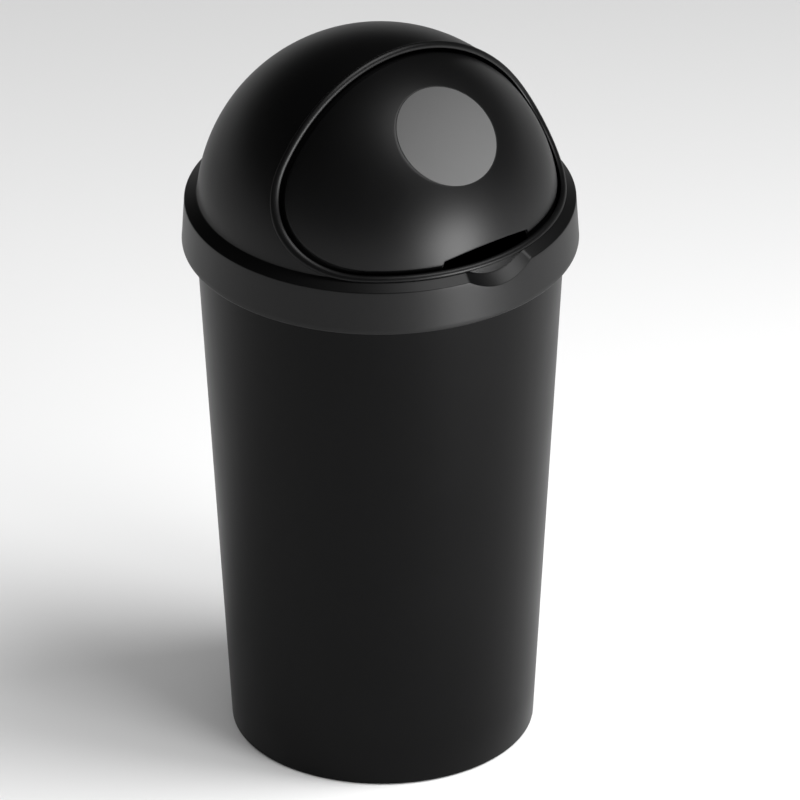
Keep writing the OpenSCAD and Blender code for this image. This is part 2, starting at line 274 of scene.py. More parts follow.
def rounded(corners):
    """A profile with its corners rounded: each corner is radius, height and rounding."""
    profile = []
    for i, (r, z, rounding) in enumerate(corners):
        here = np.array([r, z])
        if rounding == 0 or i in (0, len(corners) - 1):
            profile.append(tuple(here))
            continue
        before = np.array(corners[i - 1][:2]) - here
        after = np.array(corners[i + 1][:2]) - here
        before /= np.linalg.norm(before)
        after /= np.linalg.norm(after)
        half = math.acos(np.clip(before @ after, -1, 1)) / 2
        setback = rounding / math.tan(half)
        centre = here + (before + after) / np.linalg.norm(before + after) * rounding / math.sin(half)
        start = here + before * setback - centre
        end = here + after * setback - centre
        turn = math.acos(np.clip(start @ end / rounding ** 2, -1, 1))
        for k in range(QUARTER_STEPS + 1):
            part = k / QUARTER_STEPS
            mixed = math.sin((1 - part) * turn) * start + math.sin(part * turn) * end
            profile.append(tuple(centre + mixed / math.sin(turn)))
    return profile


# ---------------------------------------------------------------- the opening's outline

TURN_ANGLE = math.pi + CORNER_TURN
TURN_POINT = CORNER_CENTRE + CORNER_R * np.array([math.cos(TURN_ANGLE), math.sin(TURN_ANGLE)])
SILL_R = (TURN_POINT[1] - SILL_UP) / (1 - math.sin(CORNER_TURN))
SILL_CENTRE = TURN_POINT + SILL_R * np.array([math.cos(CORNER_TURN), math.sin(CORNER_TURN)])

SILL_COLUMNS, ARC_COLUMNS, CORNER_COLUMNS, BACK_COLUMNS = 90, 44, 36, 100


def back_tangent(inset):
    """Where a corner's arc meets the opening's straight back edge, seen from the side."""
    return CORNER_CENTRE - (CORNER_R - inset) * np.array([math.cos(MOUTH_LEAN), math.sin(MOUTH_LEAN)])


def back_points(inset, radius, x):
    """The points of the opening's straight back edge on a sphere, at distances from the middle."""
    tangent = back_tangent(inset)
    upwards = np.array([-math.sin(MOUTH_LEAN), math.cos(MOUTH_LEAN)])
    along = tangent @ upwards
    climb = -along + np.sqrt(along ** 2 - tangent @ tangent + radius ** 2 - x ** 2)
    return to_space(x, tangent[0] + climb * upwards[0], tangent[1] + climb * upwards[1])


def half_outline(inset, radius):
    """The right half of the opening on a sphere, from the sill's middle round to the top's middle.

    inset moves it inwards from the bead's crest. Every outline has the same columns.
    """
    sill_v = SILL_UP + inset
    around = math.sqrt(radius ** 2 - sill_v ** 2)
    sill_end = math.acos(SILL_CENTRE[0] / around)
    azimuth = np.linspace(0, sill_end, SILL_COLUMNS, endpoint=False)
    pieces = [to_space(around * np.sin(azimuth), around * np.cos(azimuth), sill_v)]

    for centre, arc_r, start, stop, count in (
            (SILL_CENTRE, SILL_R, 1.5 * math.pi, TURN_ANGLE, ARC_COLUMNS),
            (CORNER_CENTRE, CORNER_R, TURN_ANGLE, math.pi + MOUTH_LEAN, CORNER_COLUMNS)):
        angle = np.linspace(start, stop, count, endpoint=False)
        u = centre[0] + (arc_r - inset) * np.cos(angle)
        v = centre[1] + (arc_r - inset) * np.sin(angle)
        pieces.append(to_space(np.sqrt(radius ** 2 - u ** 2 - v ** 2), u, v))

    tangent = back_tangent(inset)
    side_x = math.sqrt(radius ** 2 - tangent @ tangent)
    lateral = np.linspace(math.asin(side_x / radius), 0, BACK_COLUMNS + 1)
    pieces.append(back_points(inset, radius, radius * np.sin(lateral)))
    return np.vstack(pieces)


def mirrored(half):
    """Both halves as one closed row, from the sill's middle round by the right and the top."""
    other = half[1:-1][::-1] * np.array([-1, 1, 1])
    return np.vstack([half, other])


def outline(inset, radius):
    """The whole opening's outline on a sphere, moved inwards from the bead's crest."""
    return mirrored(half_outline(inset, radius))


def column_azimuths():
    """The azimuth round the collar that each column of the opening runs down to, 0 at the front."""
    half = half_outline(0, DOME_R)
    azimuth = np.arctan2(half[:, 0], -half[:, 1])
    back = SILL_COLUMNS + ARC_COLUMNS + CORNER_COLUMNS
    azimuth[back:] = np.linspace(azimuth[back], math.pi, BACK_COLUMNS + 1)
    return np.concatenate([azimuth, -azimuth[1:-1][::-1]])


AZIMUTH = column_azimuths()

# ---------------------------------------------------------------- lid

LEDGE_V = COLLAR_V + COLLAR_H
CREASE_V = LEDGE_V + LEDGE_FALL
FACE_SLOPE = COLLAR_DRAFT / COLLAR_H
FACE_ANGLE = math.atan(FACE_SLOPE)
LEDGE_SLOPE = LEDGE_FALL / (COLLAR_R - COLLAR_DRAFT - ROOT_R)
SCOOP_LIP_U = COLLAR_R - FACE_SLOPE * (-SCOOP_DROP - COLLAR_V)
SCOOP_REACH = math.pi / 3       # azimuth past which there is no scoop
NO_SCOOP = 50                   # how far over the ledge the scoop's surface is put there


def face_r(v):
    """Radius of the collar's outside at a height."""
    return COLLAR_R - FACE_SLOPE * (v - COLLAR_V)


def ring_at(r, v):
    """A closed row of the columns' azimuths, at radii and heights that may change round it."""
    return np.stack([r * np.sin(AZIMUTH), -r * np.cos(AZIMUTH), v + 0 * AZIMUTH], axis=-1)


def sphere_row(v, radius):
    """A closed row of the columns' azimuths at a height on a sphere."""
    return ring_at(np.sqrt(radius ** 2 - v ** 2), v)


def plain_ledge(r):
    """Height of the ledge at a radius, without the scoop."""
    return CREASE_V - LEDGE_SLOPE * (r - ROOT_R)


def ledge_top(r):
    """Height of the ledge at a radius on each column, with the thumb scoop sunk into its front."""
    plain = plain_ledge(r)
    x = r * np.sin(AZIMUTH)
    u = r * np.cos(AZIMUTH)
    across = np.minimum(np.abs(x), SCOOP_R - 1)
    rise = SCOOP_R - np.sqrt(SCOOP_R ** 2 - across ** 2)
    scoop = -SCOOP_DROP + (rise - (u - SCOOP_LIP_U) * math.sin(SCOOP_TILT)) / math.cos(SCOOP_TILT)
    scoop = np.where(np.abs(AZIMUTH) < SCOOP_REACH, scoop, plain + NO_SCOOP)
    apart = np.maximum(SCOOP_BLEND - np.abs(plain - scoop), 0) / SCOOP_BLEND
    return np.minimum(plain, scoop) - apart ** 2 * SCOOP_BLEND / 4


def top_rounding():
    """The rounding of the collar's top edge on each column: its radius, slant and centre."""
    corner_r = face_r(LEDGE_V)
    sunk = np.clip((plain_ledge(corner_r) - ledge_top(corner_r)) / SCOOP_FADE, 0, 1)
    sunk = sunk * sunk * (3 - 2 * sunk)
    rounding = COLLAR_EDGE + (SCOOP_EDGE - COLLAR_EDGE) * sunk

    step = 0.4
    edge_r = corner_r - rounding - step
    slope = (ledge_top(edge_r + step) - ledge_top(edge_r - step)) / (2 * step)
    slant = np.arctan(slope)
    # The centre's distance to the ledge's line and to the collar's face is the rounding
    top_r, top_v = -np.sin(slant), np.cos(slant)
    side_r, side_v = math.cos(FACE_ANGLE), math.sin(FACE_ANGLE)
    top_level = top_r * edge_r + top_v * ledge_top(edge_r) - rounding
    side_level = side_r * COLLAR_R + side_v * COLLAR_V - rounding
    det = top_r * side_v - top_v * side_r
    centre_r = (top_level * side_v - top_v * side_level) / det
    centre_v = (top_r * side_level - side_r * top_level) / det
    return rounding, slant, centre_r, centre_v


def collar_rows():
    """Closed rows of the collar and ledge, from the collar's lower edge inside to the dome."""
    rows = []
    inner_r = COLLAR_R - COLLAR_WALL
    for centre_r, edge, start in ((inner_r + FOOT_EDGE_IN, FOOT_EDGE_IN, math.pi),
                                  (COLLAR_R - FOOT_EDGE_OUT, FOOT_EDGE_OUT, math.pi / 2)):
        for k in range(QUARTER_STEPS + 1):
            turn = start - math.pi / 2 * k / QUARTER_STEPS
            rows.append(ring_at(centre_r + edge * math.cos(turn), COLLAR_V + edge - edge * math.sin(turn)))

    rounding, slant, centre_r, centre_v = top_rounding()
    face_low_v = COLLAR_V + FOOT_EDGE_OUT
    face_top_v = centre_v + rounding * math.sin(FACE_ANGLE)
    face_rows = 10
    for k in range(1, face_rows):
        v = face_low_v + (face_top_v - face_low_v) * k / face_rows
        rows.append(ring_at(np.minimum(face_r(v), COLLAR_R), v))
    edge_rows = 8
    for k in range(edge_rows + 1):
        turn = FACE_ANGLE + (math.pi / 2 + slant - FACE_ANGLE) * k / edge_rows
        rows.append(ring_at(centre_r + rounding * np.cos(turn), centre_v + rounding * np.sin(turn)))

    start_r = centre_r - rounding * np.sin(slant)
    start_v = centre_v + rounding * np.cos(slant)
    miss = start_v - ledge_top(start_r)
    crease_r = np.full_like(AZIMUTH, DOME_R)
    for _ in range(4):
        crease_r = np.sqrt(DOME_R ** 2 - ledge_top(crease_r) ** 2)
    crease_out, crease_up = 0.5, 0.12
    top_rows = 14
    for k in range(1, top_rows + 1):
        r = start_r + (crease_r + crease_out - start_r) * k / top_rows
        rows.append(ring_at(r, ledge_top(r) + miss * (1 - k / top_rows) ** 2))
    crease_v = ledge_top(crease_r)
    rows.append(ring_at(crease_r + crease_up, crease_v + crease_up))
    return rows, crease_v + crease_out


def bead_rows():
    """Rows over the bead, from the dome's outside to its inside."""
    rows = []
    steps = 9
    for k in range(steps):
        turn = math.pi / 2 * k / steps
        rows.append(outline(BEAD_CREST - (BEAD_CREST + BEAD_OUT) * math.cos(turn),
                            DOME_R + BEAD_PROUD * math.sin(turn)))
    for k in range(steps + 1):
        turn = math.pi / 2 * k / steps
        rows.append(outline(BEAD_CREST + (BEAD_IN - BEAD_CREST) * math.sin(turn),
                            DOME_R - BEAD_LIP + (BEAD_PROUD + BEAD_LIP) * math.cos(turn)))
    rows += [outline(BEAD_IN - outwards, DOME_IN_R + up) for outwards, up in LIP_ROUND]
    return rows


def build_lid():
    """The lid's shell: collar, ledge, dome and bead, and back down its inside to the collar's foot."""
    rows, crease_v = collar_rows()

    foot = sphere_row(crease_v, DOME_R)
    bead_foot = outline(-BEAD_OUT - BEAD_FOOT, DOME_R)
    dome_steps = 48
    rows += [between(foot, bead_foot, k / dome_steps, DOME_R) for k in range(dome_steps + 1)]
    rows += bead_rows()

    inner_edge = outline(BEAD_IN - LIP_END, DOME_IN_R)
    skirt_in = sphere_row(-SKIRT_DROP + SKIRT_EDGE, DOME_IN_R)
    inner_steps = 36
    rows += [between(inner_edge, skirt_in, k / inner_steps, DOME_IN_R) for k in range(inner_steps + 1)]
    rows.append(sphere_row(-SKIRT_DROP, DOME_IN_R + SKIRT_EDGE))
    rows.append(sphere_row(-SKIRT_DROP, DOME_R - SKIRT_EDGE))
    rows.append(sphere_row(-SKIRT_DROP + SKIRT_EDGE, DOME_R))

    under_v = ledge_top(DOME_R) - LEDGE_WALL
    for fraction in (0.35, 0.7, 1.0):
        rows.append(sphere_row(-SKIRT_DROP + (under_v + SKIRT_DROP) * fraction, DOME_R - SKIN))
    chamfer_in, chamfer_down = LEDGE_CHAMFER
    inner_top = face_r(LEDGE_V) - COLLAR_WALL - chamfer_in
    for fraction in (0.25, 0.6, 1.0):
        r = DOME_R + (inner_top - DOME_R) * fraction
        rows.append(ring_at(r, ledge_top(r) - LEDGE_WALL))
    corner_v = rows[-1][:, 2]
    for fraction, down in ((0.03, chamfer_down), (0.3, 0), (0.6, 0), (0.9, 0)):
        v = corner_v + (COLLAR_V - corner_v) * fraction - down
        rows.append(ring_at(face_r(v) - COLLAR_WALL, v))

    return from_rows("lid_shell", rows, wrap_rows=True, flip=True, sharp=50)


# ---------------------------------------------------------------- flap

def arch_v(x):
    """Height of the arched finger gap's edge."""
    bow = ARCH_RISE - ARCH_END
    arch_r = (ARCH_HALF ** 2 + bow ** 2) / (2 * bow)
    inside = np.clip(np.abs(x), 0, ARCH_HALF)
    return PANEL_EDGE_V + ARCH_RISE - arch_r + np.sqrt(arch_r ** 2 - inside ** 2)


def raise_to(points, v, radius):
    """Points lifted to at least a height, kept on their azimuth and on the sphere."""
    lifted = np.maximum(points[:, 2], v)
    flat = points[:, :2] / np.linalg.norm(points[:, :2], axis=1, keepdims=True)
    return np.column_stack([flat * np.sqrt(radius ** 2 - lifted ** 2)[:, None], lifted])


def panel_outline(inset, radius):
    """The raised panel's outline on a sphere: the opening's, kept above the sill and the finger gap."""
    points = outline(inset, radius)
    front = points[:, 1] < -radius / 2
    level = np.where(front, PANEL_EDGE_V + inset - PANEL_INSET, -radius)
    under_arch = front & (np.abs(points[:, 0]) < ARCH_HALF)
    level = np.where(under_arch, arch_v(points[:, 0]) + inset - PANEL_INSET, level)
    return raise_to(points, level, radius)


def flange_outline(inset, radius):
    """The flange's outline on a sphere: the opening's, kept just under the finger gap's edge."""
    points = outline(inset, radius)
    x = np.abs(points[:, 0])
    near_sill = (points[:, 1] < -radius / 2) & (points[:, 2] < PANEL_EDGE_V + ARCH_RISE)
    part = np.clip((ARCH_HALF + ARCH_FADE - x) / (2 * ARCH_FADE), 0, 1)
    level = points[:, 2] + part * (arch_v(x) - ARCH_LEDGE - points[:, 2])
    return raise_to(points, np.where(near_sill, level, -radius), radius)


def lap_rows(start, end, radius):
    """Rows across the flange on a sphere, from one outline to the other."""
    return [at_radius(start + (end - start) * fraction, radius) for fraction in (0, 0.33, 0.66, 1)]


BADGE_AXIS = np.array([
    -math.sin(BADGE_SIDE) * math.cos(BADGE_EL),
    -math.cos(BADGE_SIDE) * math.cos(BADGE_EL),
    math.sin(BADGE_EL)])


def badge_circle(bearings, angle, radius):
    """A row round the disc's axis, at an angle from it, on the given bearings."""
    return (BADGE_AXIS * math.cos(angle) + bearings * math.sin(angle)) * radius


def bearings_to(points):
    """Unit directions round the disc's axis towards points."""
    flat = points - (points @ BADGE_AXIS)[:, None] * BADGE_AXIS
    return flat / np.linalg.norm(flat, axis=1, keepdims=True)


def build_flap():
    """The flap's shell: recess, panel and flange outside, and back over its inside."""
    rim = panel_outline(PANEL_INSET + PANEL_EDGE, PANEL_R)
    bearings = bearings_to(rim)
    recess = math.asin((BADGE_R + DISC_GAP) / PANEL_R)
    floor_r = PANEL_R - BADGE_SINK
    centre_part = 0.15
    rows = [badge_circle(bearings, recess * part, floor_r) for part in (centre_part, 0.5, 0.85, 1.0)]
    lip = [badge_circle(bearings, recess + wider, PANEL_R - depth) for wider, depth in RECESS_LIP]
    rows += lip[:-1]
    panel_steps = 44
    rows += [between(lip[-1], rim, k / panel_steps, PANEL_R) for k in range(panel_steps + 1)]
    for k in range(1, QUARTER_STEPS + 1):
        turn = math.pi / 2 * k / QUARTER_STEPS
        rows.append(panel_outline(PANEL_INSET + PANEL_EDGE - PANEL_EDGE * math.sin(turn),
                                  PANEL_R - PANEL_EDGE + PANEL_EDGE * math.cos(turn)))
    rows.append(panel_outline(PANEL_INSET, FLANGE_R + PANEL_FOOT))
    rows.append(panel_outline(PANEL_INSET - PANEL_FOOT / 2, FLANGE_R + PANEL_FOOT / 2))
    rows += lap_rows(panel_outline(PANEL_INSET - PANEL_FOOT, FLANGE_R),
                     flange_outline(-FLANGE_LAP + FLANGE_EDGE, FLANGE_R), FLANGE_R)
    rows.append(flange_outline(-FLANGE_LAP, FLANGE_R - FLANGE_EDGE))
    rows.append(flange_outline(-FLANGE_LAP, FLAP_IN_R + FLANGE_EDGE))
    rows += lap_rows(flange_outline(-FLANGE_LAP + FLANGE_EDGE, FLAP_IN_R),
                     panel_outline(PANEL_INSET + FLAP_WALL, FLAP_IN_R), FLAP_IN_R)
    inside = panel_outline(PANEL_INSET + FLAP_WALL + PANEL_EXTRA, PANEL_IN_R)
    centre_ring = badge_circle(bearings, recess * centre_part, PANEL_IN_R)
    inner_steps = 20
    rows += [between(inside, centre_ring, k / inner_steps, PANEL_IN_R) for k in range(inner_steps + 1)]
    poles = [BADGE_AXIS * floor_r, BADGE_AXIS * PANEL_IN_R]
    return from_rows("flap_shell", rows, poles=poles, flip=True, sharp=50)


def build_arm(side):
    """One arm of the flap, on the sphere from the pivot into the flange, closed all round."""
    distance = np.linalg.norm(CORNER_CENTRE)
    along = CORNER_CENTRE / distance
    across = np.array([-along[1], along[0]])
    length = distance - CORNER_R - FLANGE_LAP + ARM_LAP
    outer_r = FLANGE_R - ARM_SINK
    inner_r = FLAP_IN_R + ARM_SINK
    half = ARM_W / 2
    tip = 0.12      # radians; the first row keeps some width
    stations = np.concatenate([-half * np.cos(np.linspace(tip, math.pi / 2, 8)),
                               np.linspace(0, length, 16)[1:]])
    columns = 13
    rows = []
    for s in stations:
        reach = math.sqrt(half ** 2 - s ** 2) if s < 0 else half
        w = np.linspace(-reach, reach, columns)
        side_uv = s * along + w[:, None] * across
        depth = (side_uv ** 2).sum(1)
        out = to_space(side * np.sqrt(outer_r ** 2 - depth), side_uv[:, 0], side_uv[:, 1])
        back = to_space(side * np.sqrt(inner_r ** 2 - depth), side_uv[:, 0], side_uv[:, 1])
        rows.append(np.vstack([out, back[::-1]]))
    name = "flap_arm_right" if side > 0 else "flap_arm_left"
    return from_rows(name, rows, poles=end_middles(rows), flip=side > 0, sharp=30)


def end_middles(rows):
    """The middle of the first and of the last row, to close both ends on."""
    return [np.mean(rows[0], axis=0), np.mean(rows[-1], axis=0)]


def pivot_ring(name, side, outer, near, far):
    """A ring with the pin's bore, from near to far along the pivot axis."""
    edge = 0.4
    columns = 64
    corners = [(PIN_R, near), (outer - edge, near), (outer, near + edge),
               (outer, far - edge), (outer - edge, far), (PIN_R, far)]
    angle = np.linspace(0, 2 * math.pi, columns, endpoint=False)
    rows = [np.stack([side * (x + 0 * angle), r * np.cos(angle), r * np.sin(angle)], axis=-1)
            for r, x in corners]
    return from_rows(name, rows, wrap_rows=True, flip=side < 0, sharp=30)


# ---------------------------------------------------------------- disc, tub and the lid's inner parts

def build_badge():
    """The plain disc: a part of a sphere with a rounded edge, closed underneath."""
    columns = 180
    turn = np.linspace(0, 2 * math.pi, columns, endpoint=False)
    side = np.cross(BADGE_AXIS, [0, 0, 1])
    side /= np.linalg.norm(side)
    up = np.cross(side, BADGE_AXIS)
    bearings = np.cos(turn)[:, None] * side + np.sin(turn)[:, None] * up
    base_r = PANEL_R - BADGE_SINK
    top_r = base_r + BADGE_T
    edge = math.asin(BADGE_R / PANEL_R)
    rows = [badge_circle(bearings, edge * part, base_r) for part in (0.1, 0.6, 0.97, 1.0)]
    for k in range(QUARTER_STEPS + 1):
        turned = math.pi / 2 * k / QUARTER_STEPS
        rows.append(badge_circle(bearings, edge - DISC_BEVEL * (1 - math.cos(turned)) / PANEL_R,
                                 top_r - DISC_BEVEL + DISC_BEVEL * math.sin(turned)))
    rows += [badge_circle(bearings, edge * part, top_r) for part in np.linspace(0.98, 0.05, 18)]
    poles = [BADGE_AXIS * base_r, BADGE_AXIS * top_r]
    return from_rows("plain_disc", rows, poles=poles, sharp=50)


def build_tub():
    """The tub's shell, turned from a profile: outside up from its base, over the rim and down inside."""
    mouth_r = TUB_TOP_R + MOUTH_STEP
    shoulder = TUB_SIDE_H + SHOULDER_RISE
    roll_z = RIM_Z - RIM_BAND
    in_shoulder = shoulder + SHOULDER_IN
    ring_r = TUB_BASE_R - BASE_RING
    in_base_r = TUB_BASE_R - TUB_WALL
    low, high = TUB_FLOOR
    # Radius, height and rounding of each corner
    corners = [
        (0, low, 0),
        (ring_r, low, 1.2),
        (ring_r, TUB_FOOT_Z, 0.8),
        (TUB_BASE_R - FOOT_SINK, TUB_FOOT_Z, 1.3),
        (TUB_TOP_R, TUB_SIDE_H, 0.8),
        (TUB_TOP_R + SHOULDER_OUT, shoulder, 1.0),
        (mouth_r, shoulder + MOUTH_STEP, 1.5),
        (mouth_r, roll_z, 0.8),
        (RIM_R - SKIN, roll_z + RIM_ROLL, 0.8),
        (RIM_R - SKIN, RIM_Z, 2.0),
        (mouth_r - TUB_WALL, RIM_Z, 0.8),
        (mouth_r - TUB_WALL, in_shoulder + MOUTH_STEP, 1.5),
        (TUB_TOP_R - TUB_WALL, in_shoulder, 1.0),
        (in_base_r, high + FLOOR_CHAMFER, 0),
        (in_base_r - FLOOR_CHAMFER, high, 1.0),
        (0, high, 0)]
    profile = rounded(corners)
    dense = [profile[0]]
    longest = 40
    for (r0, z0), (r1, z1) in zip(profile, profile[1:]):
        steps = max(1, int(math.hypot(r1 - r0, z1 - z0) // longest))
        dense += [(r0 + (r1 - r0) * k / steps, z0 + (z1 - z0) * k / steps) for k in range(1, steps + 1)]
    least_r = 2.0
    profile = [(max(r, least_r), z) for r, z in dense]
    return lathe("tub_shell", profile, columns=360, about_centre=False, sharp=50)


def build_seat_ribs():
    """The ribs under the ledge that rest on the tub's rim, as one piece of separate plates."""
    low_v = RIM_Z + RIM_CLEARANCE - CENTRE_Z
    chamfer = 0.5
    in_r = ROOT_R + RIB_BITE
    out_low = face_r(low_v) - COLLAR_WALL + RIB_BITE
    out_high = face_r(LEDGE_V) - COLLAR_WALL + RIB_BITE / 2
    plate = np.array([
        (in_r, low_v), (out_low - chamfer, low_v), (out_low, low_v + chamfer),
        (out_high, LEDGE_V - COLLAR_WALL + RIB_TOP_OUT), (in_r, CREASE_V - COLLAR_WALL + RIB_TOP_IN)])
    count = len(plate)
    points, faces = [], []
    for i in range(SEAT_RIBS):
        turn = math.radians((i + 0.5) * 360 / SEAT_RIBS)
        out = np.array([math.sin(turn), -math.cos(turn), 0])
        aside = np.array([math.cos(turn), math.sin(turn), 0])
        start = len(points)
        for offset in (-RIB_T / 2, RIB_T / 2):
            points += [out * r + aside * offset + np.array([0, 0, v]) for r, v in plate]
        faces.append([start + k for k in range(count)])
        faces.append([start + count + k for k in range(count)][::-1])
        for k in range(count):
            n = (k + 1) % count
            faces.append([start + n, start + k, start + count + k, start + count + n])
    return make_object("lid_seat_ribs", points, faces, sharp=20)


def build_shelf(name, side, middle_x, edge, turn):
    """A stop's shelf on the dome's wall: edge gives its line at a depth past the flap's edge."""
    near = SLIDE_GAP + BUMPER_T
    far = near + SHELF_T
    inner = FLAP_IN_R - SHELF_REACH
    outer = ROOT_R + WALL_BITE
    ease = 0.6
    section = [(inner + ease, near), (outer, near), (outer, far), (inner + ease, far),
               (inner, far - ease), (inner, near + ease)]
    rows = []
    for x in np.linspace(middle_x - SHELF_HALF, middle_x + SHELF_HALF, 9):
        rows.append(np.vstack([edge(depth, radius, np.array([x])) for radius, depth in section]))
    rows = np.array(rows) * np.array([side, 1, 1])
    c, s = math.cos(turn), math.sin(turn)
    rows = rows @ np.array([[1, 0, 0], [0, c, -s], [0, s, c]])
    return from_rows(name, rows, poles=end_middles(rows), flip=side > 0, sharp=30)


def sill_points(depth, radius, x):
    """Points below the shut flap's lower edge."""
    v = SILL_UP - FLANGE_LAP - depth
    return to_space(x, np.sqrt(radius ** 2 - v ** 2 - x ** 2), v)


def trailing_points(depth, radius, x):
    """Points behind the flap's trailing edge."""
    return back_points(-FLANGE_LAP - depth, radius, x)


# ---------------------------------------------------------------- materials

def new_material(name):
    """A material with its nodes, links and main shader."""
    mat = bpy.data.materials.new(name)
    mat.use_nodes = True
    nodes = mat.node_tree.nodes
    return mat, nodes, mat.node_tree.links, nodes["Principled BSDF"]


def grey(level):
    """A colour of one level."""
    return (level, level, level)


def add_noise(nodes, links, vector, scale, detail=2):
    """A noise of its own scale over a vector."""
    noise = nodes.new("ShaderNodeTexNoise")
    noise.inputs["Scale"].default_value = scale
    noise.inputs["Detail"].default_value = detail
    links.new(vector, noise.inputs["Vector"])
    return noise.outputs["Fac"]


def add_ramp(nodes, links, value, first, last, start=0, stop=1):
    """A colour that runs from first to last while a value goes from start to stop."""
    ramp = nodes.new("ShaderNodeValToRGB")
    for element, colour, position in zip(ramp.color_ramp.elements, (first, last), (start, stop)):
        element.position = position
        element.color = (*colour, 1)
    links.new(value, ramp.inputs["Fac"])
    return ramp.outputs["Color"]


def add_range(nodes, links, value, first, last, start=0, stop=1):
    """A number that runs from first to last while a value goes from start to stop."""
    reach = nodes.new("ShaderNodeMapRange")
    for socket, number in (("From Min", start), ("From Max", stop), ("To Min", first), ("To Max", last)):
        reach.inputs[socket].default_value = number
    links.new(value, reach.inputs["Value"])
    return reach.outputs["Result"]


def add_bump(nodes, links, height, depth_mm, under=None):
    """A bump of a depth in millimetres, on top of the one under it."""
    bump = nodes.new("ShaderNodeBump")
    bump.inputs["Strength"].default_value = 1
    bump.inputs["Distance"].default_value = depth_mm * MM
    links.new(height, bump.inputs["Height"])
    if under is not None:
        links.new(under, bump.inputs["Normal"])
    return bump.outputs["Normal"]


def moulded(name, colour, lift, roughness, spread, ior, grain_mm, grain_depth, wave_depth=0.0):
    """Moulded plastic or rubber: a fine grain, a slow waviness, and slight changes of tone and gloss."""
    mat, nodes, links, shader = new_material(name)
    shader.inputs["IOR"].default_value = ior
    place = nodes.new("ShaderNodeTexCoord").outputs["Object"]
    grain = add_noise(nodes, links, place, scale=1 / (grain_mm * MM), detail=3)
    drift = add_noise(nodes, links, place, scale=9, detail=4)

    tone = add_ramp(nodes, links, drift, colour, [c * lift for c in colour], start=0.3, stop=0.75)
    links.new(tone, shader.inputs["Base Color"])
    gloss = add_range(nodes, links, drift, roughness - spread, roughness + spread, start=0.3, stop=0.7)
    links.new(gloss, shader.inputs["Roughness"])

    slow = None
    if wave_depth:
        waves = add_noise(nodes, links, place, scale=22, detail=1)
        slow = add_bump(nodes, links, waves, wave_depth)
    links.new(add_bump(nodes, links, grain, grain_depth, under=slow), shader.inputs["Normal"])
    return mat


def turned_steel(name, colour, roughness):
    """Steel with fine turning marks round the pivot axis."""
    mat, nodes, links, shader = new_material(name)
    shader.inputs["Metallic"].default_value = 1
    place = nodes.new("ShaderNodeTexCoord").outputs["Object"]
    stretch = nodes.new("ShaderNodeMapping")
    stretch.inputs["Scale"].default_value = (4, 0.2, 0.2)
    links.new(place, stretch.inputs["Vector"])
    marks = add_noise(nodes, links, stretch.outputs["Vector"], scale=1500)

    dark_part = 0.8
    tone = add_ramp(nodes, links, marks, [c * dark_part for c in colour], colour)
    links.new(tone, shader.inputs["Base Color"])
    spread = 0.06
    gloss = add_range(nodes, links, marks, roughness - spread, roughness + spread)
    links.new(gloss, shader.inputs["Roughness"])
    return mat


BLACK = (0.0012, 0.0012, 0.0013)
PLASTIC = dict(lift=1.5, spread=0.02, grain_mm=0.5, grain_depth=0.004)
RUBBER = dict(lift=1.4, spread=0.05, ior=1.45)
tub_plastic = moulded("tub_black_plastic", BLACK, roughness=0.36, ior=1.18, wave_depth=0.02, **PLASTIC)
lid_plastic = moulded("lid_black_plastic", BLACK, roughness=0.4, ior=1.33, wave_depth=0.01, **PLASTIC)
flap_plastic = moulded("flap_black_plastic", BLACK, roughness=0.41, ior=1.36, wave_depth=0.01, **PLASTIC)
disc_grey = moulded("disc_grey", grey(0.12), lift=1.04, roughness=0.85, spread=0.03, ior=1.15,
                    grain_mm=0.4, grain_depth=0.006)
rubber = moulded("stop_rubber", grey(0.018), roughness=0.75, grain_mm=0.6, grain_depth=0.03, **RUBBER)
foot_rubber = moulded("foot_rubber", grey(0.02), roughness=0.8, grain_mm=0.8, grain_depth=0.04, **RUBBER)
nylon = moulded("washer_nylon", (0.72, 0.7, 0.62), lift=0.92, roughness=0.45, spread=0.05, ior=1.5,
                grain_mm=0.5, grain_depth=0.01)
pin_steel = turned_steel("pin_steel", (0.6, 0.61, 0.63), roughness=0.3)
clip_steel = turned_steel("clip_steel", (0.33, 0.34, 0.36), roughness=0.4)


def set_material(obj, material):
    """Gives an object one material in place of all that it had."""
    obj.data.materials.clear()
    obj.data.materials.append(material)


def dress(obj, material, body, slot_name, *nodes):
    """Gives a piece its material and body, and hides the CAD nodes that it stands for; slot_name is not used.
    """
    set_material(obj, material)
    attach(obj, body)
    if nodes:
        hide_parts(*nodes)


# ---------------------------------------------------------------- pieces

dress(build_tub(), tub_plastic, "tub_body", "tub_plastic", "tub")
dress(build_lid(), lid_plastic, "lid_body", "lid_plastic", "lid")
dress(build_seat_ribs(), lid_plastic, "lid_body", "lid_plastic")
dress(build_flap(), flap_plastic, "flap_body", "flap_plastic", "flap")
dress(build_badge(), disc_grey, "flap_body", "badge_plastic", "badge_disc")

flap_boss = (FLAP_IN_R - BOSS_IN, FLANGE_R + BOSS_OUT)
lid_boss = (flap_boss[1] + SLIDE_GAP + WASHER_T, ROOT_R)
pin_pad = (ROOT_R - WALL_BITE, DOME_R + PAD_PROUD)
for side, word in ((-1, "left"), (1, "right")):
    flap_pieces = [build_arm(side), pivot_ring(f"flap_boss_{word}", side, BOSS_R, *flap_boss)]
    for piece in flap_pieces:
        dress(piece, flap_plastic, "flap_body", "flap_plastic")
    lid_pieces = [
        pivot_ring(f"lid_boss_{word}", side, BOSS_R, *lid_boss),
        pivot_ring(f"pin_pad_{word}", side, PIN_HEAD_R + PAD_WIDER, *pin_pad),
        build_shelf(f"closing_shelf_{word}", side, CLOSING_X, sill_points, 0),
        build_shelf(f"opening_shelf_{word}", side, OPENING_X, trailing_points, FLAP_OPEN)]
    for piece in lid_pieces:
        dress(piece, lid_plastic, "lid_body", "lid_plastic")

